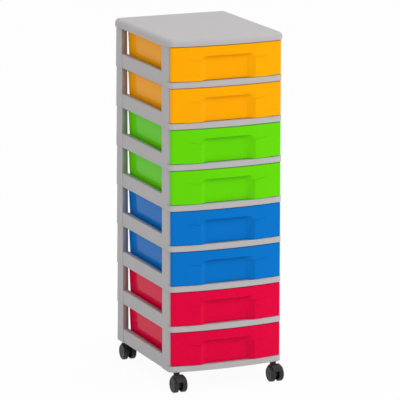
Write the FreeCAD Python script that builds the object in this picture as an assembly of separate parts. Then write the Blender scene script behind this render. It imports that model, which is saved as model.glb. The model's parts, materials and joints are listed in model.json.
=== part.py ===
import FreeCAD
import Part
import math
import os

# Rolling drawer cabinet: eight stacked frame mouldings, each with one drawer,
# a top panel, and four twin-wheel swivel casters. Millimetres, +Z up, front
# towards -Y, origin on the floor below the middle of the whole outline.
# While it is built, Y = 0 is the plane through the drawer fronts' side edges.

Vector = FreeCAD.Vector

# Overall frame
FRAME_WIDTH = 300.0
FRAME_DEPTH = 361.0
FRONT_BOW = 12.5
TIER_COUNT = 8
TIER_PITCH = 101.0

# Tier frame moulding
WALL = 2.5
FRAME_CORNER = 14.0
FRONT_RAIL_HEIGHT = 14.5
FRONT_RAIL_DEPTH = 12.0
FRONT_RAIL_SETBACK = 0.5
FRONT_RAIL_CELLS = 2
REAR_RAIL_HEIGHT = 15.5
REAR_RAIL_DEPTH = 14.0
SIDE_RAIL_HEIGHT = 34.3
SIDE_RAIL_RECESS = 2.5
SIDE_RAIL_CELLS = 2
POST_LENGTH = 45.0
POST_THICKNESS = 17.0
POST_SETBACK = 7.5
POST_TAPER = 1.2
POST_EDGE_RADIUS = 2.0
REAR_POST_WIDTH = 25.0
TENON_HEIGHT = 8.0
TENON_CLEARANCE = 0.2
RUNNER_REACH = 21.0
RUNNER_THICKNESS = 2.5
RUNNER_RIBS = 3
RUNNER_RIB_DROP = 9.0

# Top panel
TOP_THICKNESS = 18.7
TOP_OVERHANG = 1.5
TOP_EDGE_RADIUS = 10.6
TOP_INNER_EASE = 0.6
TOP_WALL = 3.0
TOP_SKIRT_DROP = 1.5
TOP_SKIRT_CLEARANCE = 0.4
TOP_RIBS = 3
TOP_RIB_HEIGHT = 7.0

# Drawer moulding
PANEL_WIDTH = 291.5
PANEL_GAP = 1.2
PANEL_WALL = 2.5
PANEL_EDGE_RADIUS = 6.0
PANEL_LIP_CHAMFER = 1.0
PANEL_BACK_CLEARANCE = 0.5
TUB_LENGTH = 325.0
TUB_HEIGHT = 77.5
TUB_WALL = 2.0
TUB_SIDE_CLEARANCE = 3.0
TUB_DRAFT = 2.5
TUB_CORNER = 10.0
TUB_RIM_WIDTH = 2.0
TUB_RIM_HEIGHT = 3.0
RUNNER_GAP = 0.3
STOP_REAR_INSET = 62.5
STOP_CLEARANCE = 0.5
STOP_DROP = 7.0
STOP_THICKNESS = 3.0
STOP_WIDTH = 24.0
STOP_SPACING = 150.0

# Finger grip in the drawer front
GRIP_HALF_WIDTH = 69.0
GRIP_FLOOR_HALF_WIDTH = 53.0
GRIP_DEPTH = 11.5
GRIP_TOP_BELOW_PANEL = 24.0
GRIP_CORNER = 9.0
GRIP_UNDERCUT = 6.5
GRIP_SKIN = 2.5
BULGE_HALF_WIDTH = 113.0
BULGE_RISE = 2.4
BULGE_INNER_BELOW_PANEL = 38.0
BULGE_OUTER_BELOW_PANEL = 29.5

# Casters
WHEEL_DIAMETER = 40.0
WHEEL_WIDTH = 12.5
WHEEL_DISC = 2.6
WHEEL_RIM = 3.4
WHEEL_HUB_RADIUS = 5.6
WHEEL_EDGE_CHAMFER = 1.6
WHEEL_CROWN = 1.2
WHEEL_SIDE_GAP = 0.5
WHEEL_TREAD_GAP = 1.0
HOOD_WEB = 8.5
HOOD_WALL = 2.5
HOOD_WIDTH = 24.0
HOOD_SKIRT_ABOVE_AXLE = 9.5
HOOD_WEB_FRONT = 9.0
HOOD_WEB_BELOW_AXLE = 6.0
NECK_DIAMETER = 15.5
NECK_RISE = 4.3
AXLE_DIAMETER = 5.0
AXLE_END_GAP = 0.4
STEM_DIAMETER = 8.0
STEM_REACH = 12.0
STEM_CHAMFER = 1.0
STEM_SIDE_INSET = 20.5
STEM_FRONT_INSET = 7.0
STEM_REAR_INSET = 18.0
TRAIL = 12.0
SLEEVE_WALL = 1.8
SLEEVE_FLANGE_DIAMETER = 18.0
SLEEVE_FLANGE = 1.2
SLEEVE_END_GAP = 0.3
BOSS_WALL = 2.5
SWIVEL_GAP = 0.3
RUNNING_CLEARANCE = 0.05
SEAT_CLEARANCE = 0.02

# How far cutting shapes reach past what they cut
PAST = 1.0

# Sizes that follow from the driving dimensions
HALF_WIDTH = FRAME_WIDTH / 2
INNER_HALF = HALF_WIDTH - POST_THICKNESS
POST_FRONT = POST_SETBACK
WINDOW_FRONT = POST_SETBACK + POST_LENGTH
WINDOW_REAR = FRAME_DEPTH - POST_LENGTH
REAR_RAIL_FRONT = FRAME_DEPTH - REAR_RAIL_DEPTH
RAIL_OUTER = HALF_WIDTH - SIDE_RAIL_RECESS

PANEL_HALF = PANEL_WIDTH / 2
PANEL_BOTTOM = FRONT_RAIL_HEIGHT + PANEL_GAP
PANEL_TOP = TIER_PITCH - PANEL_GAP
PANEL_BACK = POST_FRONT - PANEL_BACK_CLEARANCE
BOW_RADIUS = (PANEL_HALF ** 2 + FRONT_BOW ** 2) / (2 * FRONT_BOW)
BOW_CENTRE = BOW_RADIUS - FRONT_BOW
RAIL_BOW_RADIUS = BOW_RADIUS - FRONT_RAIL_SETBACK

TUB_BOTTOM = PANEL_BOTTOM
TUB_TOP = TUB_BOTTOM + TUB_HEIGHT
TUB_HALF = INNER_HALF - TUB_SIDE_CLEARANCE
STOP_FRONT = TUB_LENGTH - STOP_REAR_INSET
DRAWER_TRAVEL = STOP_FRONT - FRONT_RAIL_DEPTH - STOP_CLEARANCE
RUNNER_TOP = TUB_BOTTOM - RUNNER_GAP
RUNNER_BOTTOM = RUNNER_TOP - RUNNER_THICKNESS

WHEEL_RADIUS = WHEEL_DIAMETER / 2
HOOD_INNER = WHEEL_RADIUS + WHEEL_TREAD_GAP
HOOD_OUTER = HOOD_INNER + HOOD_WALL
HOOD_FRONT = math.sqrt(HOOD_OUTER ** 2 - HOOD_SKIRT_ABOVE_AXLE ** 2)
NECK_TOP = WHEEL_RADIUS + HOOD_OUTER + NECK_RISE
BASE_HEIGHT = NECK_TOP + SWIVEL_GAP + SLEEVE_FLANGE
WHEEL_INNER_FACE = HOOD_WEB / 2 + WHEEL_SIDE_GAP
WHEEL_OUTER_FACE = WHEEL_INNER_FACE + WHEEL_WIDTH
STEM_RADIUS = STEM_DIAMETER / 2
AXLE_RADIUS = AXLE_DIAMETER / 2
SLEEVE_BORE = STEM_RADIUS + RUNNING_CLEARANCE
SLEEVE_RADIUS = SLEEVE_BORE + SLEEVE_WALL
SLEEVE_LENGTH = RUNNER_BOTTOM - SLEEVE_END_GAP
AXLE_BORE_END = WHEEL_OUTER_FACE - WHEEL_DISC
AXLE_HALF_LENGTH = AXLE_BORE_END - AXLE_END_GAP

# Origin: middle of the outline between the front casters' hoods and the rear edge
FRONT_REACH = min(STEM_FRONT_INSET - TRAIL - HOOD_FRONT, -FRONT_BOW - TOP_OVERHANG)
REAR_REACH = FRAME_DEPTH + TOP_OVERHANG
ORIGIN_Y = (FRONT_REACH + REAR_REACH) / 2

STEM_X = HALF_WIDTH - STEM_SIDE_INSET
STEM_PLACES = {
    "front_left": (-STEM_X, STEM_FRONT_INSET),
    "front_right": (STEM_X, STEM_FRONT_INSET),
    "rear_left": (-STEM_X, FRAME_DEPTH - STEM_REAR_INSET),
    "rear_right": (STEM_X, FRAME_DEPTH - STEM_REAR_INSET),
}


# Basic shapes


def block(x_range, y_range, z_range):
    """Box between two values on each axis."""
    corner = Vector(x_range[0], y_range[0], z_range[0])
    return Part.makeBox(
        x_range[1] - x_range[0], y_range[1] - y_range[0], z_range[1] - z_range[0], corner
    )


def on_both_sides(shape):
    """A shape and its mirror image across the middle plane."""
    return [shape, shape.mirror(Vector(0, 0, 0), Vector(1, 0, 0))]


def upright_cylinder(radius, place, z_range):
    base = Vector(place[0], place[1], z_range[0])
    return Part.makeCylinder(radius, z_range[1] - z_range[0], base)


def cross_cylinder(radius, half_length):
    """Cylinder along X on a caster's axle, evenly about the middle."""
    base = Vector(-half_length, -TRAIL, WHEEL_RADIUS)
    return Part.makeCylinder(radius, 2 * half_length, base, Vector(1, 0, 0))


def prism(outline, z_range):
    face = Part.Face(outline)
    face.translate(Vector(0, 0, z_range[0]))
    return face.extrude(Vector(0, 0, z_range[1] - z_range[0]))


def closed_outline(points):
    return Part.makePolygon(points + [points[0]])


def plan_outline(half_width, front, rear, front_corner, rear_corner, bow_radius=None):
    """Outline seen from above, alike on both sides of X = 0.

    The front is straight at y = front, or an arc about the bow's centre when a
    bow radius is given. A corner radius of 0 leaves that corner sharp.
    """
    inset = half_width - front_corner
    if bow_radius is None:
        corner = Vector(inset, front + front_corner, 0)
        front_point = Vector(inset, front, 0)
    else:
        drop = math.sqrt((bow_radius - front_corner) ** 2 - inset ** 2)
        corner = Vector(inset, BOW_CENTRE - drop, 0)
        centre = Vector(0, BOW_CENTRE, 0)
        front_point = centre + (corner - centre) * (bow_radius / (bow_radius - front_corner))
    side_front = Vector(half_width, corner.y, 0)
    side_rear = Vector(half_width, rear - rear_corner, 0)
    rear_point = Vector(half_width - rear_corner, rear, 0)

    def across(point):
        return Vector(-point.x, point.y, point.z)

    def corner_arc(start, end, middle, radius):
        bisector = (start - middle) + (end - middle)
        through = middle + bisector.normalize() * radius
        return [
            Part.Arc(start, through, end).toShape(),
            Part.Arc(across(start), across(through), across(end)).toShape(),
        ]

    edges = []
    if bow_radius is None:
        edges.append(Part.makeLine(across(front_point), front_point))
    else:
        apex = Vector(0, BOW_CENTRE - bow_radius, 0)
        edges.append(Part.Arc(across(front_point), apex, front_point).toShape())
    if front_corner > 0:
        edges += corner_arc(front_point, side_front, corner, front_corner)
    edges.append(Part.makeLine(side_front, side_rear))
    edges.append(Part.makeLine(across(side_front), across(side_rear)))
    if rear_corner > 0:
        middle = Vector(half_width - rear_corner, rear - rear_corner, 0)
        edges += corner_arc(side_rear, rear_point, middle, rear_corner)
    edges.append(Part.makeLine(rear_point, across(rear_point)))
    return Part.Wire(Part.__sortEdges__(edges))


def tapered(lower, lower_z, upper, upper_z):
    """Solid between two outlines of the same kind at two heights."""
    lower.translate(Vector(0, 0, lower_z))
    upper.translate(Vector(0, 0, upper_z))
    return Part.makeLoft([lower, upper], True, True)


def edges_where(shape, test):
    return [edge for edge in shape.Edges if test(edge)]


# Tier frame


def post_corners(inset, z_range, reach_in=0.0):
    """The four hollows inside the posts, shrunk by an inset on every side.

    reach_in carries them past the posts' inner faces, so that they open inwards.
    """
    thin = POST_TAPER + WALL + inset
    plan = plan_outline(
        HALF_WIDTH - thin,
        POST_FRONT + WALL + inset,
        FRAME_DEPTH - thin,
        FRAME_CORNER - WALL - inset,
        FRAME_CORNER - WALL - inset,
    )
    inner = INNER_HALF + WALL + inset - reach_in
    front = (POST_FRONT, WINDOW_FRONT - WALL - inset)
    rear = (WINDOW_REAR + WALL + inset, FRAME_DEPTH)
    solid = prism(plan, z_range)
    corners = []
    for y_range in (front, rear):
        corners += on_both_sides(block((inner, HALF_WIDTH), y_range, z_range))
    return [solid.common(corner) for corner in corners]


def side_rail_cells():
    """Hollows in the side rails, open below, with a rib between each two."""
    span = WINDOW_REAR - WINDOW_FRONT
    length = (span - (SIDE_RAIL_CELLS - 1) * WALL) / SIDE_RAIL_CELLS
    cells = []
    for index in range(SIDE_RAIL_CELLS):
        start = WINDOW_FRONT + index * (length + WALL)
        cells += on_both_sides(
            block(
                (INNER_HALF + WALL, RAIL_OUTER - WALL),
                (start, start + length),
                (-PAST, SIDE_RAIL_HEIGHT - WALL),
            )
        )
    return cells


def front_rail_cells():
    """Hollows behind the bowed front rail, open below."""
    plan = plan_outline(
        HALF_WIDTH - WALL,
        None,
        FRAME_DEPTH,
        FRAME_CORNER - WALL,
        0,
        RAIL_BOW_RADIUS - WALL,
    )
    z_range = (-PAST, FRONT_RAIL_HEIGHT - WALL)
    solid = prism(plan, z_range)
    half = INNER_HALF - FRAME_CORNER
    length = (2 * half - (FRONT_RAIL_CELLS - 1) * WALL) / FRONT_RAIL_CELLS
    cells = []
    for index in range(FRONT_RAIL_CELLS):
        start = -half + index * (length + WALL)
        cell = block(
            (start, start + length), (-2 * FRONT_BOW, FRONT_RAIL_DEPTH - WALL), z_range
        )
        cells.append(solid.common(cell))
    return cells


def runners():
    """Ledges inside the side rails that the drawer slides on, with ribs below."""
    y_range = (POST_FRONT, REAR_RAIL_FRONT + WALL)
    inner = INNER_HALF - RUNNER_REACH
    seat = INNER_HALF + WALL
    shapes = on_both_sides(block((inner, seat), y_range, (RUNNER_BOTTOM, RUNNER_TOP)))
    pitch = (WINDOW_REAR - WINDOW_FRONT) / RUNNER_RIBS
    for index in range(RUNNER_RIBS):
        y = WINDOW_FRONT + (index + 0.5) * pitch
        rib = closed_outline(
            [
                Vector(inner, y, RUNNER_BOTTOM),
                Vector(INNER_HALF, y, RUNNER_BOTTOM),
                Vector(INNER_HALF, y, RUNNER_BOTTOM - RUNNER_RIB_DROP),
            ]
        )
        shapes += on_both_sides(Part.Face(rib).extrude(Vector(0, WALL, 0)))
    return shapes


def frame_ring():
    """The bowed ring that forms the foot of every tier, before it is opened up."""
    plan = plan_outline(
        HALF_WIDTH, None, FRAME_DEPTH, FRAME_CORNER, FRAME_CORNER, RAIL_BOW_RADIUS
    )
    return prism(plan, (0, FRONT_RAIL_HEIGHT))


def frame_openings():
    """What is cut away between the posts: inside, front, rear and side windows."""
    top = TIER_PITCH + PAST
    openings = [
        block((-INNER_HALF, INNER_HALF), (FRONT_RAIL_DEPTH, REAR_RAIL_FRONT), (-PAST, top)),
        block(
            (-INNER_HALF, INNER_HALF),
            (POST_FRONT - PAST, FRONT_RAIL_DEPTH + PAST),
            (FRONT_RAIL_HEIGHT, top),
        ),
        block(
            (REAR_POST_WIDTH - HALF_WIDTH, HALF_WIDTH - REAR_POST_WIDTH),
            (REAR_RAIL_FRONT - PAST, FRAME_DEPTH + PAST),
            (REAR_RAIL_HEIGHT, top),
        ),
        block(
            (REAR_POST_WIDTH - HALF_WIDTH, HALF_WIDTH - REAR_POST_WIDTH),
            (REAR_RAIL_FRONT + WALL, FRAME_DEPTH - WALL),
            (-PAST, REAR_RAIL_HEIGHT - WALL),
        ),
    ]
    window = (WINDOW_FRONT, WINDOW_REAR)
    openings += on_both_sides(
        block((INNER_HALF - PAST, HALF_WIDTH + PAST), window, (SIDE_RAIL_HEIGHT, top))
    )
    openings += on_both_sides(
        block((RAIL_OUTER, HALF_WIDTH + PAST), window, (-PAST, SIDE_RAIL_HEIGHT + PAST))
    )
    return openings


def round_post_edges(frame):
    """Round the posts' outer edges beside the side windows."""

    def beside_window(edge):
        low = edge.BoundBox
        at_window = min(abs(low.YMin - WINDOW_FRONT), abs(low.YMin - WINDOW_REAR)) < 0.01
        outer = min(abs(low.XMin), abs(low.XMax)) > RAIL_OUTER + 0.01
        return at_window and outer and low.YLength < 0.01 and low.ZLength > WALL

    return frame.makeFillet(POST_EDGE_RADIUS, edges_where(frame, beside_window))


def tier_frame(is_base):
    """One frame moulding; the base one also has the casters' sockets."""
    lower = plan_outline(HALF_WIDTH, POST_FRONT, FRAME_DEPTH, FRAME_CORNER, FRAME_CORNER)
    upper = plan_outline(
        HALF_WIDTH - POST_TAPER,
        POST_FRONT,
        FRAME_DEPTH - POST_TAPER,
        FRAME_CORNER,
        FRAME_CORNER,
    )
    uprights = tapered(lower, FRONT_RAIL_HEIGHT, upper, TIER_PITCH)
    frame = frame_ring().fuse(uprights).cut(frame_openings())
    frame = round_post_edges(frame.removeSplitter())
    hollow_top = (SIDE_RAIL_HEIGHT + WALL, TIER_PITCH - WALL)
    frame = frame.cut(post_corners(0, hollow_top, reach_in=2 * WALL))
    frame = frame.cut(post_corners(0, (-PAST, SIDE_RAIL_HEIGHT - WALL)))
    frame = frame.cut(side_rail_cells() + front_rail_cells())
    tenons = post_corners(TENON_CLEARANCE, (TIER_PITCH - WALL, TIER_PITCH + TENON_HEIGHT))
    frame = frame.fuse(tenons + runners())
    if is_base:
        frame = frame.fuse(caster_bosses())
        bore = SLEEVE_RADIUS + SEAT_CLEARANCE
        depth = SLEEVE_LENGTH + SEAT_CLEARANCE
        frame = frame.cut(
            [upright_cylinder(bore, place, (-PAST, depth)) for place in STEM_PLACES.values()]
        )
    return frame.removeSplitter()


def caster_bosses():
    """Bosses round the caster sockets, kept inside the base ring's outline."""
    radius = SLEEVE_RADIUS + BOSS_WALL
    ring = frame_ring()
    bosses = []
    for place in STEM_PLACES.values():
        bosses.append(upright_cylinder(radius, place, (0, RUNNER_BOTTOM)).common(ring))
    return bosses


# Top panel


def lid_form(inset):
    """The panel's outer form, shrunk by an inset, before its top edge is eased."""
    grow = TOP_OVERHANG - inset
    plan = plan_outline(
        HALF_WIDTH + grow,
        None,
        FRAME_DEPTH + grow,
        FRAME_CORNER + grow,
        FRAME_CORNER + grow,
        RAIL_BOW_RADIUS + grow,
    )
    return prism(plan, (0, TOP_THICKNESS - inset))


def top_rim(form):
    height = form.BoundBox.ZMax
    return edges_where(form, lambda edge: edge.BoundBox.ZMin > height - 0.01)


def top_panel():
    """Hollow panel with seats for the posts' tenons and a skirt round three sides."""
    roof = TOP_THICKNESS - TOP_WALL
    outside = lid_form(0)
    outside = outside.makeFillet(TOP_EDGE_RADIUS, top_rim(outside))
    inside = lid_form(TOP_WALL)
    inside = inside.makeChamfer((TOP_EDGE_RADIUS - TOP_WALL) * TOP_INNER_EASE, top_rim(inside))
    panel = outside.cut(inside)
    seats = []
    for y_range in ((POST_FRONT, WINDOW_FRONT), (WINDOW_REAR, FRAME_DEPTH)):
        seats += on_both_sides(block((INNER_HALF, HALF_WIDTH), y_range, (0, roof)))
    ribs = []
    rib_z = (roof - TOP_RIB_HEIGHT, roof)
    for index in range(TOP_RIBS):
        share = (index + 1) / (TOP_RIBS + 1) - 0.5
        x = share * FRAME_WIDTH
        y = (share + 0.5) * FRAME_DEPTH
        ribs.append(block((x - WALL / 2, x + WALL / 2), (-FRONT_BOW, FRAME_DEPTH), rib_z))
        ribs.append(block((-HALF_WIDTH, HALF_WIDTH), (y - WALL / 2, y + WALL / 2), rib_z))
    panel = panel.fuse([shape.common(inside) for shape in seats + ribs])
    panel = panel.cut(post_corners(0, (-PAST, TENON_HEIGHT + PAST)))
    return panel.fuse(top_skirt()).removeSplitter()


def top_skirt():
    """Wall below the panel's edge that laps over the tops of the posts."""
    outer = plan_outline(
        HALF_WIDTH + TOP_OVERHANG,
        POST_FRONT,
        FRAME_DEPTH + TOP_OVERHANG,
        FRAME_CORNER,
        FRAME_CORNER + TOP_OVERHANG,
    )
    gap = TOP_SKIRT_CLEARANCE
    inner = plan_outline(
        HALF_WIDTH + gap,
        POST_FRONT,
        FRAME_DEPTH + gap,
        FRAME_CORNER,
        FRAME_CORNER + gap,
    )
    z_range = (-TOP_SKIRT_DROP, 0)
    skirt = prism(outer, z_range).cut(prism(inner, z_range))
    start = POST_FRONT + FRAME_CORNER
    keep = block(
        (-FRAME_WIDTH, FRAME_WIDTH), (start, FRAME_DEPTH + FRAME_CORNER), z_range
    )
    return skirt.common(keep)


# Drawer


def bow_cylinder(radius, z_range):
    return upright_cylinder(radius, (0, BOW_CENTRE), z_range)


def panel_form(inset):
    """Bowed front panel, or the hollow behind its wall when an inset is given."""
    plan = plan_outline(
        PANEL_HALF - inset,
        None,
        PANEL_BACK + (PAST if inset else 0),
        PANEL_EDGE_RADIUS - inset,
        0,
        BOW_RADIUS - inset,
    )
    return prism(plan, (PANEL_BOTTOM + inset, PANEL_TOP - inset))


def grip_bulge():
    """Slight swelling of the front on both sides of the grip, below a crease."""
    flat = BOW_RADIUS - math.sqrt(BOW_RADIUS ** 2 - BULGE_HALF_WIDTH ** 2)
    sagitta = flat + BULGE_RISE
    radius = (BULGE_HALF_WIDTH ** 2 + sagitta ** 2) / (2 * sagitta)
    centre_y = -FRONT_BOW - BULGE_RISE + radius
    inner_z = PANEL_TOP - BULGE_INNER_BELOW_PANEL
    outer_z = PANEL_TOP - BULGE_OUTER_BELOW_PANEL
    front = -FRONT_BOW - 2 * BULGE_RISE
    face = Part.Face(
        closed_outline(
            [
                Vector(-BULGE_HALF_WIDTH, front, PANEL_BOTTOM),
                Vector(BULGE_HALF_WIDTH, front, PANEL_BOTTOM),
                Vector(BULGE_HALF_WIDTH, front, outer_z),
                Vector(GRIP_HALF_WIDTH, front, inner_z),
                Vector(-GRIP_HALF_WIDTH, front, inner_z),
                Vector(-BULGE_HALF_WIDTH, front, outer_z),
            ]
        )
    )
    slab = face.extrude(Vector(0, PANEL_BACK - front, 0))
    swell = upright_cylinder(radius, (0, centre_y), (PANEL_BOTTOM, PANEL_TOP))
    return slab.common(swell)


def grip_recess(skin):
    """The recess cut for the fingers, or its outside when a skin is given."""
    mouth_y = BOW_CENTRE - math.sqrt(BOW_RADIUS ** 2 - GRIP_HALF_WIDTH ** 2)
    floor_y = GRIP_DEPTH - FRONT_BOW
    slope = (GRIP_HALF_WIDTH - GRIP_FLOOR_HALF_WIDTH) / (floor_y - mouth_y)
    ahead = -2 * FRONT_BOW - BULGE_RISE
    floor_half = GRIP_FLOOR_HALF_WIDTH + skin
    ahead_half = floor_half + slope * (floor_y - ahead)
    bottom = PANEL_BOTTOM - PAST
    top = PANEL_TOP - GRIP_TOP_BELOW_PANEL
    floor_y += skin
    ahead += skin
    outline = closed_outline(
        [
            Vector(-ahead_half, ahead, 0),
            Vector(ahead_half, ahead, 0),
            Vector(floor_half, floor_y, 0),
            Vector(-floor_half, floor_y, 0),
        ]
    )
    recess = prism(outline, (bottom, top + skin))

    def is_top(edge):
        return edge.BoundBox.ZMin > top + skin - 0.01

    slanted = [edge for edge in edges_where(recess, is_top) if edge.BoundBox.YLength > 0.01]
    recess = recess.makeFillet(GRIP_CORNER + skin, slanted)
    half = GRIP_FLOOR_HALF_WIDTH - GRIP_CORNER + skin
    undercut = block(
        (-half, half), (-2 * FRONT_BOW, floor_y), (bottom, top + GRIP_UNDERCUT + skin)
    )
    behind_lip = bow_cylinder(BOW_RADIUS - PANEL_WALL, (bottom, TIER_PITCH))
    return recess.fuse(undercut.common(behind_lip))


def tub_form(inset, bottom, top, front):
    """Tapered tub, smaller at the bottom, shrunk by an inset on three sides."""
    height_share = TUB_DRAFT / TUB_HEIGHT
    corner = TUB_CORNER - inset

    def plan(z):
        draft = (TUB_TOP - z) * height_share + inset
        return plan_outline(TUB_HALF - draft, front, TUB_LENGTH - draft, 0, corner)

    return tapered(plan(bottom), bottom, plan(top), top)


def drawer_tub():
    """Floor, walls and rim of the tub, reaching forward to the panel's wall."""
    front = -FRONT_BOW
    shell = tub_form(0, TUB_BOTTOM, TUB_TOP, front)
    rim = tub_form(-TUB_RIM_WIDTH, TUB_TOP - TUB_RIM_HEIGHT, TUB_TOP, PANEL_BACK)
    inside = tub_form(TUB_WALL, TUB_BOTTOM + TUB_WALL, TUB_TOP + PAST, front - PAST)
    reach = FRAME_DEPTH + 2 * FRONT_BOW
    behind_front = bow_cylinder(BOW_RADIUS - PANEL_WALL, (0, TIER_PITCH))
    behind_front = behind_front.common(
        block((-HALF_WIDTH, HALF_WIDTH), (-reach, reach), (0, TIER_PITCH))
    )
    return shell.fuse(rim).cut(inside).common(behind_front)


def drawer_stops():
    """Lugs below the tub's floor that meet the front rail after the drawer's travel."""
    front = STOP_FRONT
    bottom = TUB_BOTTOM - STOP_DROP
    lugs = []
    for side in (-1, 1):
        middle = side * STOP_SPACING / 2
        profile = closed_outline(
            [
                Vector(middle - STOP_WIDTH / 2, front, TUB_BOTTOM),
                Vector(middle - STOP_WIDTH / 2, front, bottom),
                Vector(middle - STOP_WIDTH / 2, front + STOP_THICKNESS, bottom),
                Vector(middle - STOP_WIDTH / 2, front + STOP_THICKNESS + STOP_DROP, TUB_BOTTOM),
            ]
        )
        lugs.append(Part.Face(profile).extrude(Vector(STOP_WIDTH, 0, 0)))
    return lugs


def drawer():
    """One drawer moulding at the height of a tier that stands on Z = 0."""
    form = panel_form(0)
    front_edges = edges_where(
        form,
        lambda edge: edge.BoundBox.ZLength < 0.01 and edge.BoundBox.YMax < PANEL_BACK - 0.01,
    )
    form = form.makeChamfer(PANEL_LIP_CHAMFER, front_edges)
    panel = form.fuse(grip_bulge())
    grip_wall = grip_recess(GRIP_SKIN).common(panel)
    panel = panel.cut(panel_form(PANEL_WALL)).fuse([grip_wall, drawer_tub()])
    shape = panel.cut(grip_recess(0)).fuse(drawer_stops())
    return shape.removeSplitter()


# Casters, with the stem's axis on X = Y = 0 and the wheels ahead of it


def wheel(side):
    """One wheel: a crowned disc with a rim and a hub, turned about the axle."""
    inner = WHEEL_INNER_FACE
    outer = WHEEL_OUTER_FACE
    disc = outer - WHEEL_DISC
    rim = WHEEL_RADIUS - WHEEL_RIM
    bore = AXLE_RADIUS + RUNNING_CLEARANCE
    edge = WHEEL_EDGE_CHAMFER
    shoulder = outer - WHEEL_CROWN

    def at(x, radius):
        return Vector(side * x, -TRAIL, WHEEL_RADIUS + radius)

    profile = [
        at(outer, 0),
        at(disc, 0),
        at(disc, bore),
        at(inner, bore),
        at(inner, WHEEL_HUB_RADIUS),
        at(disc, WHEEL_HUB_RADIUS),
        at(disc, rim),
        at(inner, rim),
        at(inner, WHEEL_RADIUS),
        at(shoulder - edge, WHEEL_RADIUS),
        at(shoulder, WHEEL_RADIUS - edge),
        at(outer, WHEEL_HUB_RADIUS),
    ]
    face = Part.Face(closed_outline(profile))
    return face.revolve(Vector(0, -TRAIL, WHEEL_RADIUS), Vector(1, 0, 0), 360)


def hood():
    """Canopy over both wheels, the web between them and the neck for the stem."""
    above = (WHEEL_RADIUS + HOOD_SKIRT_ABOVE_AXLE, NECK_TOP)
    wide = (-HOOD_WIDTH, HOOD_WIDTH)
    reach = (-TRAIL - 2 * HOOD_OUTER, 2 * HOOD_OUTER)
    canopy = cross_cylinder(HOOD_OUTER, HOOD_WIDTH / 2).common(block(wide, reach, above))
    neck = upright_cylinder(NECK_DIAMETER / 2, (0, 0), above)
    shell = canopy.fuse(neck).cut(cross_cylinder(HOOD_INNER, HOOD_WIDTH))
    web = cross_cylinder(HOOD_INNER + HOOD_WALL / 2, HOOD_WEB / 2)
    back = (-TRAIL - HOOD_WEB_FRONT, 2 * HOOD_OUTER)
    web = web.common(block(wide, back, (WHEEL_RADIUS - HOOD_WEB_BELOW_AXLE, NECK_TOP)))
    body = shell.fuse(web)
    seat = upright_cylinder(
        STEM_RADIUS + SEAT_CLEARANCE, (0, 0), (WHEEL_RADIUS + HOOD_INNER, NECK_TOP + PAST)
    )
    axle_hole = cross_cylinder(AXLE_RADIUS + SEAT_CLEARANCE, HOOD_WIDTH)
    return body.cut([seat, axle_hole]).removeSplitter()


def axle():
    return cross_cylinder(AXLE_RADIUS, AXLE_HALF_LENGTH)


def stem():
    """Steel pin from the hood's seat up into the sleeve."""
    pin = upright_cylinder(
        STEM_RADIUS, (0, 0), (WHEEL_RADIUS + HOOD_INNER, BASE_HEIGHT + STEM_REACH)
    )
    ends = edges_where(pin, lambda edge: edge.BoundBox.ZMin > BASE_HEIGHT)
    ends = [edge for edge in ends if edge.BoundBox.ZLength < 0.01]
    return pin.makeChamfer(STEM_CHAMFER, ends)


def sleeve():
    """Flanged sleeve in the base frame's socket that the stem turns in."""
    flange = upright_cylinder(
        SLEEVE_FLANGE_DIAMETER / 2, (0, 0), (BASE_HEIGHT - SLEEVE_FLANGE, BASE_HEIGHT)
    )
    tube = upright_cylinder(SLEEVE_RADIUS, (0, 0), (BASE_HEIGHT, BASE_HEIGHT + SLEEVE_LENGTH))
    bore = upright_cylinder(
        SLEEVE_BORE, (0, 0), (BASE_HEIGHT - 2 * PAST, BASE_HEIGHT + SLEEVE_LENGTH + PAST)
    )
    return flange.fuse(tube).cut(bore).removeSplitter()


# Assembly


def save(name, shape, place):
    """Write one piece, moved to its place, in the frame with the floor origin."""
    piece = shape.copy()
    piece.translate(Vector(place[0], place[1] - ORIGIN_Y, place[2]))
    piece.exportStep("parts/" + name + ".step")
    print(name, "valid" if piece.isValid() else "INVALID", round(piece.Volume / 1000, 2), "cm3")


def main():
    os.makedirs("parts", exist_ok=True)
    print("drawer travel", DRAWER_TRAVEL, "mm")
    tier = tier_frame(False)
    base = tier_frame(True)
    pull = drawer()
    for number in range(1, TIER_COUNT + 1):
        z = BASE_HEIGHT + (TIER_COUNT - number) * TIER_PITCH
        lowest = number == TIER_COUNT
        save("tier_frame_%d" % number, base if lowest else tier, (0, 0, z))
        save("drawer_%d" % number, pull, (0, 0, z))
    save("top_panel", top_panel(), (0, 0, BASE_HEIGHT + TIER_COUNT * TIER_PITCH))
    caster = {
        "hood": hood(),
        "axle": axle(),
        "stem": stem(),
        "sleeve": sleeve(),
        "left_wheel": wheel(-1),
        "right_wheel": wheel(1),
    }
    for corner, place in STEM_PLACES.items():
        for piece, shape in caster.items():
            save(corner + "_caster_" + piece, shape, (place[0], place[1], 0))


main()
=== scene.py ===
"""Looks of a rolling drawer cabinet, dressed around its construction frame.

The frame gives every piece at its real size. This script eases the edges of the
mouldings, models the casters' wheels, gives each surface its finish and sets the
studio. Lengths are metres unless a name ends in _mm.
"""

from __future__ import annotations

import json
import logging
import math
from dataclasses import dataclass
from enum import Enum
from typing import Any

import bmesh
import bpy
from mathutils import Matrix, Vector

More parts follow.
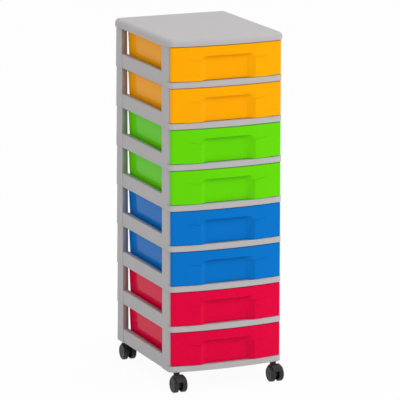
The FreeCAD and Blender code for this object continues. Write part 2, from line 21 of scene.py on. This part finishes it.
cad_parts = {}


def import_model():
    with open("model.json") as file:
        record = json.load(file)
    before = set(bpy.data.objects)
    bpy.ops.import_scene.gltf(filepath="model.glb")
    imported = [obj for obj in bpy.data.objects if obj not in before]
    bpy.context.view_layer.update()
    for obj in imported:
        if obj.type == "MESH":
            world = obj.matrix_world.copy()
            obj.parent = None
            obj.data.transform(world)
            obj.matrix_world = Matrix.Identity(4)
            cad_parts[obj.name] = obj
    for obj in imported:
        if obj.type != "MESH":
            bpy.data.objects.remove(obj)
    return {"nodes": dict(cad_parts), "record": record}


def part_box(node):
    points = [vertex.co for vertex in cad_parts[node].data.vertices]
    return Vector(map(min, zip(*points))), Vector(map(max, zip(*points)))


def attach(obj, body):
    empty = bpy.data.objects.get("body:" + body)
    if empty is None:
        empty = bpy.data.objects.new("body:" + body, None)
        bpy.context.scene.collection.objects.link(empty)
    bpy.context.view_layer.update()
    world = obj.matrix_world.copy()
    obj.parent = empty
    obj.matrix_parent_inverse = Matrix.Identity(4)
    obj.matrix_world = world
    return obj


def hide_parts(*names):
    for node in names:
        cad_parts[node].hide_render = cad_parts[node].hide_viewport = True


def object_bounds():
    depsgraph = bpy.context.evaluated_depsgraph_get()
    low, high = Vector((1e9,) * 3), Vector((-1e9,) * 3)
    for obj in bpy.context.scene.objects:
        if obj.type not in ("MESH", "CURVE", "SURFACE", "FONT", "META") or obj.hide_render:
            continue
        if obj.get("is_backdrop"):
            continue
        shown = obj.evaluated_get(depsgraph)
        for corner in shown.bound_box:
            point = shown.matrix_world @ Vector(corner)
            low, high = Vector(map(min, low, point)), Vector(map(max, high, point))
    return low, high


LOG = logging.getLogger("drawer_cabinet")
MM = 0.001
# Face mask for the edge colour: painted seam shade on the drawers, lighter wear on the grey frame and
# hoods.
EDGE_ATTRIBUTE = "edge_wear_and_shade"
CORNERS = ("front_left", "front_right", "rear_left", "rear_right")
WHITE = (1.0, 1.0, 1.0, 1.0)
# A Mix node repeats its socket names for each data type, so its colours go by number.
MIX_FIRST = 6
MIX_SECOND = 7
MIX_RESULT = 2
# Width of one band of a Wave texture at a scale of 1.
WAVE_BAND = 0.314


def linear(hex_colour: str) -> tuple[float, float, float, float]:
    """Turn an sRGB hex colour into linear RGBA.

    Args:
        hex_colour: Six hex digits, such as "C3C0C1".

    Returns:
        The linear colour with an alpha of 1.
    """
    channels = [int(hex_colour[place : place + 2], 16) / 255 for place in (0, 2, 4)]
    values = [c / 12.92 if c <= 0.04045 else ((c + 0.055) / 1.055) ** 2.4 for c in channels]
    return (*values, 1.0)


def add_node(
    tree: bpy.types.NodeTree, kind: str, inputs: dict[str | int, Any] | None = None, **settings: Any
) -> bpy.types.Node:
    """Add a shader node with its settings, socket values and links.

    Args:
        tree: The node tree to add to.
        kind: The node's type name, without its ShaderNode prefix.
        inputs: Socket name or index to a value, or to an output socket to link.
        **settings: Properties of the node itself.

    Returns:
        The new node.
    """
    node = tree.nodes.new("ShaderNode" + kind)
    for name, value in settings.items():
        setattr(node, name, value)
    for name, value in (inputs or {}).items():
        if isinstance(value, bpy.types.NodeSocket):
            tree.links.new(value, node.inputs[name])
        else:
            node.inputs[name].default_value = value
    return node


@dataclass(frozen=True)
class MouldedFinish:
    """A moulded thermoplastic: even colour, fine mould grain, edges of another shade.

    mottle is how much darker the flow marks are, and gloss_spread how far the roughness
    varies with them.
    """

    name: str
    colour: str
    edge_colour: str
    roughness: float
    specular: float
    grain_mm: float
    grain_depth_mm: float
    mottle_mm: float = 70.0
    mottle: float = 0.05
    gloss_spread: float = 0.06
    ior: float = 1.49
    mottle_detail: float = 3.0
    mottle_roughness: float = 0.55
    grain_detail: float = 2.0
    grain_roughness: float = 0.5

    def material(self) -> bpy.types.Material:
        """Build the node material once and reuse it.

        Returns:
            The finish as a Blender material.
        """
        known = bpy.data.materials.get(self.name)
        if known:
            return known
        material = bpy.data.materials.new(self.name)
        material.use_nodes = True
        tree = material.node_tree
        shader = tree.nodes["Principled BSDF"]
        place = add_node(tree, "TexCoord").outputs["Object"]
        flow = add_node(
            tree,
            "TexNoise",
            {
                "Vector": place,
                "Scale": 1 / (self.mottle_mm * MM),
                "Detail": self.mottle_detail,
                "Roughness": self.mottle_roughness,
            },
        )
        grain = add_node(
            tree,
            "TexNoise",
            {
                "Vector": place,
                "Scale": 1 / (self.grain_mm * MM),
                "Detail": self.grain_detail,
                "Roughness": self.grain_roughness,
            },
        )
        body = linear(self.colour)
        darker = tuple(channel * (1 - self.mottle) for channel in body[:3]) + (1.0,)
        mottled = add_node(
            tree,
            "Mix",
            {"Factor": flow.outputs["Fac"], MIX_FIRST: darker, MIX_SECOND: body},
            data_type="RGBA",
        )
        # Marked faces mix to the edge colour: painted shade on the drawers, lighter wear on the frame
        # and hoods.
        edge = add_node(tree, "Attribute", attribute_name=EDGE_ATTRIBUTE)
        shaded = add_node(
            tree,
            "Mix",
            {
                "Factor": edge.outputs["Fac"],
                MIX_FIRST: mottled.outputs[MIX_RESULT],
                MIX_SECOND: linear(self.edge_colour),
            },
            data_type="RGBA",
        )
        gloss = add_node(
            tree,
            "MapRange",
            {
                "Value": flow.outputs["Fac"],
                "To Min": self.roughness - self.gloss_spread / 2,
                "To Max": self.roughness + self.gloss_spread / 2,
            },
        )
        bump = add_node(
            tree,
            "Bump",
            {"Height": grain.outputs["Fac"], "Strength": 1.0, "Distance": self.grain_depth_mm * MM},
        )
        tree.links.new(shaded.outputs[MIX_RESULT], shader.inputs["Base Color"])
        tree.links.new(gloss.outputs["Result"], shader.inputs["Roughness"])
        tree.links.new(bump.outputs["Normal"], shader.inputs["Normal"])
        shader.inputs["IOR"].default_value = self.ior
        shader.inputs["Specular IOR Level"].default_value = self.specular
        return material


@dataclass(frozen=True)
class TurnedSteelFinish:
    """Zinc plated steel rod, with the fine rings that turning leaves.

    The plating's bloom makes the roughness vary between its bright and dull multiples.
    """

    name: str
    colour: str
    ring_mm: float
    ring_depth_mm: float
    roughness: float
    ring_wobble: float = 0.4
    ring_detail: float = 1.0
    bloom_mm: float = 4.0
    bloom_detail: float = 3.0
    bright: float = 0.8
    dull: float = 1.3

    def material(self) -> bpy.types.Material:
        """Build the node material once and reuse it.

        Returns:
            The finish as a Blender material.
        """
        known = bpy.data.materials.get(self.name)
        if known:
            return known
        material = bpy.data.materials.new(self.name)
        material.use_nodes = True
        tree = material.node_tree
        shader = tree.nodes["Principled BSDF"]
        place = add_node(tree, "TexCoord").outputs["Object"]
        rings = add_node(
            tree,
            "TexWave",
            {
                "Vector": place,
                "Scale": WAVE_BAND / (self.ring_mm * MM),
                "Distortion": self.ring_wobble,
                "Detail": self.ring_detail,
            },
            bands_direction="Z",
        )
        bloom = add_node(
            tree,
            "TexNoise",
            {"Vector": place, "Scale": 1 / (self.bloom_mm * MM), "Detail": self.bloom_detail},
        )
        gloss = add_node(
            tree,
            "MapRange",
            {
                "Value": bloom.outputs["Fac"],
                "To Min": self.roughness * self.bright,
                "To Max": self.roughness * self.dull,
            },
        )
        bump = add_node(
            tree,
            "Bump",
            {"Height": rings.outputs["Fac"], "Strength": 1.0, "Distance": self.ring_depth_mm * MM},
        )
        tree.links.new(gloss.outputs["Result"], shader.inputs["Roughness"])
        tree.links.new(bump.outputs["Normal"], shader.inputs["Normal"])
        shader.inputs["Base Color"].default_value = linear(self.colour)
        shader.inputs["Metallic"].default_value = 1.0
        return material


# Satin polypropylene from a spark eroded mould: an even, soft grey with no mirror image in
# it. The real grain is under 0.5 mm, too fine to show at this picture size, so it is drawn a
# few millimetres wide and very shallow.
FRAME_GREY = MouldedFinish(
    "Polypropylene_satin_silver_grey",
    colour="B4B1B2",
    edge_colour="C0BDBE",
    roughness=0.58,
    specular=0.2,
    grain_mm=2.4,
    grain_depth_mm=0.012,
)
# Black nylon of the caster hoods and sleeves, satin from the mould: a broad grey sheen that
# shows the hood's round top. Its grain is drawn coarse too.
HOOD_BLACK = MouldedFinish(
    "Nylon_moulded_hood_black",
    colour="222125",
    edge_colour="363539",
    roughness=0.4,
    specular=0.3,
    grain_mm=1.6,
    grain_depth_mm=0.01,
    mottle_mm=12.0,
    mottle=0.15,
)
# Harder black nylon of the wheels, dulled by the floor: matter and a little greyer, with a
# deeper grain of the same width.
WHEEL_BLACK = MouldedFinish(
    "Nylon_moulded_wheel_black",
    colour="232525",
    edge_colour="393A3A",
    roughness=0.48,
    specular=0.3,
    grain_mm=1.6,
    grain_depth_mm=0.015,
    mottle_mm=9.0,
    mottle=0.2,
)
# Zinc plated mild steel, turned from rod: a pale bluish grey with fine rings across it. Real
# rings are about 0.1 mm apart, so these are drawn wider to show.
STEEL = TurnedSteelFinish(
    "Steel_turned_zinc_plated",
    colour="C9CACC",
    ring_mm=0.5,
    ring_depth_mm=0.004,
    roughness=0.28,
)


def glossy_polypropylene(tint: str, colour: str, edge_colour: str) -> MouldedFinish:
    """Give the drawers' finish in one tint.

    Args:
        tint: The tint's plain name.
        colour: Hex colour of the faces.
        edge_colour: Hex colour of the rims and rounded edges, a darker tint painted on as the shade in
            the seams.

    Returns:
        The finish.
    """
    # Moulded against a polished steel face: strong even colour, sharp reflections at a
    # low angle and almost none face on, and only a faint waviness a few millimetres wide.
    # The rims and rounded edges are painted a darker tint: painted shade that stands in for
    # the shadow in the seams and along the rounded edges of the grip and bulge.
    return MouldedFinish(
        "Polypropylene_gloss_" + tint,
        colour,
        edge_colour,
        roughness=0.075,
        specular=0.05,
        grain_mm=3.0,
        grain_depth_mm=0.004,
        gloss_spread=0.03,
    )


class DrawerTint(Enum):
    """Tints of the drawers, by the record's slot names."""

    # Each tint's second colour is painted seam shade for the drawers' rims and rounded edges.
    ORANGE = glossy_polypropylene("orange", "FCA800", "A86C00")
    GREEN = glossy_polypropylene("green", "63D402", "3F8A01")
    BLUE = glossy_polypropylene("blue", "0272C6", "014A82")
    RED = glossy_polypropylene("red", "DF003C", "920026")

    @staticmethod
    def of_slot(slot: str) -> DrawerTint:
        """Return the tint for a record slot such as drawer_orange."""
        return DrawerTint[slot.removeprefix("drawer_").upper()]


def plain_bounds() -> list[list[float]]:
    """Return the object's lowest and highest corner as plain lists."""
    return [[float(value) for value in corner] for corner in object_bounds()]


class Frame:
    """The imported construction: its nodes, and the body and slot of each."""

    FLAT_FACE_WEIGHT = 100

    def __init__(self) -> None:
        """Load the frame and index its record."""
        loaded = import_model()
        self.nodes: dict[str, bpy.types.Object] = loaded["nodes"]
        record = loaded["record"]
        bodies = record["behaviour"]["bodies"]
        self.body_of = {node: body for body, nodes in bodies.items() for node in nodes}
        self.slot_of = {part["node"]: part["material_slot"] for part in record["subparts"]}
        self.bounds = plain_bounds()

    def paint(self, node: str, material: bpy.types.Material) -> None:
        """Give a node that stays visible its material.

        Args:
            node: The node's name.
            material: The finish to put in its only slot.
        """
        mesh = self.nodes[node].data
        mesh.materials.clear()
        mesh.materials.append(material)
        LOG.info("%s painted with %s", node, material.name)

    def stand_in(self, mesh: bpy.types.Mesh, node: str, material: bpy.types.Material) -> None:
        """Put a new mesh in a node's place, on the node's body.

        Args:
            mesh: The finished mesh, in the frame's coordinates.
            node: The node that it stands for.
            material: Its finish.
        """
        mesh.materials.clear()
        mesh.materials.append(material)
        piece = bpy.data.objects.new(node + "_dressed", mesh)
        bpy.context.scene.collection.objects.link(piece)
        flats = piece.modifiers.new("flat_faces_stay_flat", "WEIGHTED_NORMAL")
        flats.weight = self.FLAT_FACE_WEIGHT
        flats.keep_sharp = True
        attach(piece, self.body_of[node])
        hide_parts(node)
        LOG.info("%s stands for %s", piece.name, node)


def face_width(face: bmesh.types.BMFace) -> float:
    """Return how wide a face is across its longest edge."""
    longest = max(edge.calc_length() for edge in face.edges)
    return face.calc_area() / longest * (2 if len(face.verts) == 3 else 1)


@dataclass(frozen=True)
class EdgeEase:
    """How a moulding's edges are rounded; a radius of 0 keeps the rounds it has.

    An edge is left as it is where a face beside it is narrower than room radii or comes to a
    point below point_deg. A rounded edge takes the given share of the edge colour, which is
    painted seam shade on the drawers and wear on the frame and hoods. Where lip_deg is set,
    narrow facets of that slope are lips and take all of it. A facet is narrow below round_mm,
    and slanted where no axis takes more than slant of its normal.
    """

    radius_mm: float
    segments: int = 2
    room: float = 3.0
    point_deg: float = 20.0
    share: float = 1.0
    lip_deg: float | None = None
    lip_slack_deg: float = 2.5
    sharp_deg: float = 32.0
    flat_deg: float = 0.6
    smooth_deg: float = 40.0
    weld_mm: float = 0.01
    speck_mm: float = 0.002
    round_mm: float = 1.5
    slant: float = 0.985

    def eased_copy(self, source: bpy.types.Mesh, name: str) -> bpy.types.Mesh:
        """Copy a construction mesh, weld it and round its sharp edges.

        Args:
            source: Mesh of loose triangles.
            name: The new mesh's name.

        Returns:
            A welded mesh with eased, marked edges and smooth shading.
        """
        form = bmesh.new()
        form.from_mesh(source)
        bmesh.ops.remove_doubles(form, verts=form.verts, dist=self.weld_mm * MM)
        mark = form.faces.layers.float.new(EDGE_ATTRIBUTE)
        if self.radius_mm > 0:
            self.round_edges(form, mark)
        else:
            self.mark_rounds(form, mark)
        mesh = bpy.data.meshes.new(name)
        form.to_mesh(mesh)
        form.free()
        mesh.shade_smooth()
        mesh.set_sharp_from_angle(angle=math.radians(self.smooth_deg))
        return mesh

    def mark_rounds(self, form: bmesh.types.BMesh, mark: bmesh.types.BMLayerItem) -> None:
        """Mark the narrow facets of the rounds that the moulding already has.

        Args:
            form: The welded mesh.
            mark: Face layer that gets 1 on each facet of a round.
        """
        for face in form.faces:
            narrow = face_width(face) < self.round_mm * MM
            slanted = max(abs(value) for value in face.normal) < self.slant
            face[mark] = 1.0 if narrow and slanted and self.has_lip_slope(face) else 0.0

    def has_lip_slope(self, face: bmesh.types.BMFace) -> bool:
        """Tell whether a face has the slope of a lip; with no slope set, every face does."""
        slope = math.degrees(math.asin(min(1.0, abs(face.normal.z))))
        return self.lip_deg is None or abs(slope - self.lip_deg) < self.lip_slack_deg

    def can_round(self, edge: bmesh.types.BMEdge) -> bool:
        """Tell whether an edge is sharp and the faces beside it leave room for its round.

        Args:
            edge: An edge of the welded mesh.

        Returns:
            True where the edge is to be rounded.
        """
        if not edge.is_manifold or edge.calc_face_angle(0.0) <= math.radians(self.sharp_deg):
            return False
        narrowest = min(face_width(face) for face in edge.link_faces)
        corners = [loop for face in edge.link_faces for loop in face.loops if loop.vert in edge.verts]
        sharpest = min(corner.calc_angle() for corner in corners)
        return narrowest > self.room * self.radius_mm * MM and sharpest > math.radians(self.point_deg)

    def round_edges(self, form: bmesh.types.BMesh, mark: bmesh.types.BMLayerItem) -> None:
        """Join flat triangles into faces, then round and mark the sharp edges between them.

        Args:
            form: The welded mesh, changed in place.
            mark: Face layer that gets 1 on each lip and the share on each rounded edge.
        """
        bmesh.ops.dissolve_limit(
            form, angle_limit=math.radians(self.flat_deg), verts=form.verts, edges=form.edges
        )
        if self.lip_deg is not None:
            self.mark_rounds(form, mark)
        eased = bmesh.ops.bevel(
            form,
            geom=[edge for edge in form.edges if self.can_round(edge)],
            offset=self.radius_mm * MM,
            offset_type="OFFSET",
            affect="EDGES",
            segments=self.segments,
            profile=0.5,
            material=-1,
            clamp_overlap=False,
        )
        for face in eased["faces"]:
            face[mark] = self.share
        bmesh.ops.dissolve_degenerate(form, dist=self.speck_mm * MM, edges=form.edges)


@dataclass
class FrameTower:
    """The stacked tier frames and the top panel, all one satin grey moulding family."""

    frame: Frame
    tiers: int = 8
    edge: EdgeEase = EdgeEase(0.0)
    top_edge: EdgeEase = EdgeEase(0.5, room=2.2)

    def build(self) -> None:
        """Dress every tier frame and the panel that caps them."""
        material = FRAME_GREY.material()
        for number in range(1, self.tiers + 1):
            node = f"tier_frame_{number}"
            tier = self.edge.eased_copy(self.frame.nodes[node].data, node)
            self.frame.stand_in(tier, node, material)
        panel = self.top_edge.eased_copy(self.frame.nodes["top_panel"].data, "top_panel")
        self.frame.stand_in(panel, "top_panel", material)


@dataclass
class DrawerStack:
    """The pull-out drawers, each in the tint of its slot."""

    frame: Frame
    drawers: int = 8
    # Lips take the full painted seam shade, and rounded edges a share of it.
    edge: EdgeEase = EdgeEase(0.4, room=3.2, share=0.35, lip_deg=45.0, smooth_deg=25.0)

    def build(self) -> None:
        """Dress every drawer."""
        for number in range(1, self.drawers + 1):
            node = f"drawer_{number}"
            tint = DrawerTint.of_slot(self.frame.slot_of[node])
            mesh = self.edge.eased_copy(self.frame.nodes[node].data, node)
            self.frame.stand_in(mesh, node, tint.value.material())


@dataclass
class TwinCaster:
    """One caster: moulded hood, two spun wheels, steel stem and axle, sleeve in the base.

    A wheel's outer face has a low domed cap in a shallow dish. The falls are shares of the
    dish's depth, and the other shares are of the cap's radius, the dish's edge and the
    outer shoulder, as their names say.
    """

    frame: Frame
    corner: str
    shoulder_mm: float = 3.6
    rim_mm: float = 3.4
    dish_mm: float = 0.9
    dish_edge_mm: float = 3.0
    cap_radius_mm: float = 6.0
    hub_radius_mm: float = 5.6
    bore_mm: float = 2.55
    web_mm: float = 2.6
    cap_fall_share: float = 0.2
    cap_flat_share: float = 0.8
    lip_fall_share: float = 0.1
    lip_edge_share: float = 0.6
    inner_shoulder_share: float = 0.35
    spin_steps: int = 56
    shoulder_steps: int = 5
    weld_mm: float = 0.002
    smooth_deg: float = 38.0
    hood_edge: EdgeEase = EdgeEase(0.6, 3, room=0.0, point_deg=0.0)

    def build(self) -> None:
        """Dress the caster's pieces."""
        name = f"{self.corner}_caster"
        hood = self.hood_edge.eased_copy(self.frame.nodes[name + "_hood"].data, name + "_hood")
        self.frame.stand_in(hood, name + "_hood", HOOD_BLACK.material())
        for side in ("left", "right"):
            node = f"{name}_{side}_wheel"
            self.frame.stand_in(self.wheel_mesh(node, side == "right"), node, WHEEL_BLACK.material())
        self.frame.paint(name + "_sleeve", HOOD_BLACK.material())
        for rod in ("axle", "stem"):
            self.frame.paint(f"{name}_{rod}", STEEL.material())

    def wheel_profile(self, radius: float, width: float) -> list[tuple[float, float]]:
        """Half section of a wheel, as distance from its inner face and from the axle.

        Args:
            radius: The tread's radius.
            width: The wheel's width.

        Returns:
            Points from the outer face's middle round to the bore's closed end.
        """
        shoulder = self.shoulder_mm * MM
        dish = self.dish_mm * MM
        dish_edge = self.dish_edge_mm * MM
        cap = self.cap_radius_mm * MM
        hub = self.hub_radius_mm * MM
        bore = self.bore_mm * MM
        web = width - self.web_mm * MM
        rim = radius - self.rim_mm * MM
        inner = self.inner_shoulder_share * shoulder
        points = [(width, 0.0), (width - self.cap_fall_share * dish, cap * self.cap_flat_share)]
        points += [(width - dish, cap), (width - dish, radius - shoulder - dish_edge)]
        lip = radius - shoulder - self.lip_edge_share * dish_edge
        points.append((width - self.lip_fall_share * dish, lip))
        for step in range(self.shoulder_steps + 1):
            turn = math.pi / 2 * step / self.shoulder_steps
            along = width - shoulder + shoulder * math.cos(turn)
            points.append((along, radius - shoulder + shoulder * math.sin(turn)))
        points += [(inner, radius), (0.0, radius - inner), (0.0, rim), (web, rim)]
        points += [(web, hub), (0.0, hub), (0.0, bore), (web, bore), (web, 0.0)]
        return points

    def wheel_mesh(self, node: str, faces_right: bool) -> bpy.types.Mesh:
        """Spin one wheel about its axle.

        Args:
            node: The wheel's node, which gives its place and size.
            faces_right: Whether the wheel's outer face is towards +X.

        Returns:
            The wheel's closed mesh, in the frame's coordinates.
        """
        low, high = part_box(node)
        middle = (low + high) / 2
        inner, outward = (low.x, 1) if faces_right else (high.x, -1)
        radius = (high.z - low.z) / 2
        form = bmesh.new()
        points = self.wheel_profile(radius, high.x - low.x)
        section = [
            form.verts.new((inner + outward * along, middle.y, middle.z + out)) for along, out in points
        ]
        edges = [form.edges.new(pair) for pair in zip(section, section[1:])]
        bmesh.ops.spin(
            form,
            geom=section + edges,
            cent=middle,
            axis=(1, 0, 0),
            angle=2 * math.pi,
            steps=self.spin_steps,
            use_merge=True,
        )
        bmesh.ops.remove_doubles(form, verts=form.verts, dist=self.weld_mm * MM)
        bmesh.ops.recalc_face_normals(form, faces=form.faces)
        form.faces.layers.float.new(EDGE_ATTRIBUTE)
        mesh = bpy.data.meshes.new(node)
        form.to_mesh(mesh)
        form.free()
        mesh.shade_smooth()
        mesh.set_sharp_from_angle(angle=math.radians(self.smooth_deg))
        return mesh


def aimed(place: Vector, direction: Vector) -> Matrix:
    """Return the matrix of a lamp or camera at a place, turned to look in a direction."""
    return Matrix.Translation(place) @ direction.to_track_quat("-Z", "Y").to_matrix().to_4x4()


@dataclass(frozen=True)
class Softbox:
    """A rectangular lamp: where its middle is, its width and height, and its power."""

    name: str
    place: tuple[float, float, float]
    size: tuple[float, float]
    watts: float

    def build(self, target: Vector) -> None:
        """Add the lamp to the scene.

        Args:
            target: The point that it is aimed at.
        """
        lamp = bpy.data.lights.new(self.name, "AREA")
        lamp.shape = "RECTANGLE"
        lamp.size, lamp.size_y = self.size
        lamp.energy = self.watts
        item = bpy.data.objects.new(self.name, lamp)
        bpy.context.scene.collection.objects.link(item)
        place = Vector(self.place)
        item.matrix_world = aimed(place, target - place)


@dataclass
class Studio:
    """White floor, soft light and the camera at the photograph's angle.

    floor_grey is the matt floor's own shade, floor_white the share of plain white that the
    camera sees in its place, and sky the strength of the light from all round.
    """

    azimuth_deg: float = -22.948
    elevation_deg: float = 12.505
    distance: float = 8.0106
    focal_px: float = 3217.9
    frame_px: int = 400
    sensor_mm: float = 36.0
    view_depth: float = 100.0
    target: tuple[float, float, float] = (0.0026, 0.0035, 0.4354)
    floor_half: float = 9.0
    floor_grey: float = 0.86
    floor_white: float = 0.95
    sky: float = 0.8
    softboxes: tuple[Softbox, ...] = (
        Softbox("overhead_softbox", place=(0.2, 0.0, 3.0), size=(2.4, 2.4), watts=13.0),
        Softbox("front_softbox", place=(0.0, -3.2, 3.4), size=(2.0, 1.6), watts=26.0),
        Softbox("right_softbox", place=(3.8, -2.2, 1.4), size=(1.6, 1.6), watts=47.0),
    )

    def build(self) -> None:
        """Set up the whole stage."""
        bpy.context.scene.view_settings.view_transform = "Standard"
        self.world()
        self.floor()
        for softbox in self.softboxes:
            softbox.build(Vector(self.target))
        self.camera()

    def background(self, tree: bpy.types.NodeTree) -> bpy.types.NodeSocket:
        """Socket that is 1 for rays that should see the plain white backdrop.

        Args:
            tree: The node tree of the floor or the world.

        Returns:
            The socket.
        """
        path = add_node(tree, "LightPath").outputs
        direct = {0: path["Is Camera Ray"], 1: path["Is Glossy Ray"]}
        seen = add_node(tree, "Math", direct, operation="MAXIMUM")
        through = {0: seen.outputs[0], 1: path["Is Transmission Ray"]}
        return add_node(tree, "Math", through, operation="MAXIMUM").outputs[0]

    def world(self) -> None:
        """Even sky light, seen as white."""
        world = bpy.data.worlds.new("studio_world")
        bpy.context.scene.world = world
        world.use_nodes = True
        tree = world.node_tree
        tree.nodes.clear()
        light = add_node(tree, "Background", {"Color": WHITE, "Strength": self.sky})
        white = add_node(tree, "Background", {"Color": WHITE, "Strength": 1.0})
        both = {0: self.background(tree), 1: light.outputs[0], 2: white.outputs[0]}
        mix = add_node(tree, "MixShader", both)
        add_node(tree, "OutputWorld", {"Surface": mix.outputs[0]})

    def floor(self) -> None:
        """White floor that keeps a faint contact shadow."""
        form = bmesh.new()
        bmesh.ops.create_grid(form, x_segments=1, y_segments=1, size=self.floor_half)
        mesh = bpy.data.meshes.new("studio_floor")
        form.to_mesh(mesh)
        form.free()
        floor = bpy.data.objects.new("studio_floor", mesh)
        bpy.context.scene.collection.objects.link(floor)
        mesh.materials.append(self.floor_material())
        floor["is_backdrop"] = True

    def floor_material(self) -> bpy.types.Material:
        """Build the floor's finish.

        Returns:
            The finish as a Blender material.
        """
        # Matt white paint under even light: plain white, with only a trace of the shadow.
        material = bpy.data.materials.new("Studio_floor_white")
        material.use_nodes = True
        tree = material.node_tree
        tree.nodes.clear()
        grey = (self.floor_grey, self.floor_grey, self.floor_grey, 1.0)
        matt = add_node(tree, "BsdfDiffuse", {"Color": grey})
        white = add_node(tree, "Emission", {"Color": WHITE, "Strength": 1.0})
        plain = {0: self.background(tree), 1: self.floor_white}
        share = add_node(tree, "Math", plain, operation="MULTIPLY")
        mix = add_node(tree, "MixShader", {0: share.outputs[0], 1: matt.outputs[0], 2: white.outputs[0]})
        add_node(tree, "OutputMaterial", {"Surface": mix.outputs[0]})
        return material

    def camera(self) -> None:
        """Place the camera on its bearing round the target."""
        azimuth = math.radians(self.azimuth_deg)
        elevation = math.radians(self.elevation_deg)
        level = math.cos(elevation)
        back = Vector((math.sin(azimuth) * level, -math.cos(azimuth) * level, math.sin(elevation)))
        data = bpy.data.cameras.new("studio_camera")
        data.sensor_fit = "HORIZONTAL"
        data.sensor_width = self.sensor_mm
        data.lens = self.focal_px * self.sensor_mm / self.frame_px
        data.clip_end = self.view_depth
        item = bpy.data.objects.new("studio_camera", data)
        bpy.context.scene.collection.objects.link(item)
        item.matrix_world = aimed(Vector(self.target) + back * self.distance, -back)
        bpy.context.scene.camera = item


def main() -> None:
    """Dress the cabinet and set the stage."""
    logging.basicConfig(level=logging.INFO, format="%(name)s: %(message)s")
    frame = Frame()
    FrameTower(frame).build()
    DrawerStack(frame).build()
    for corner in CORNERS:
        TwinCaster(frame, corner).build()
    Studio().build()


if __name__ == "__main__":
    main()
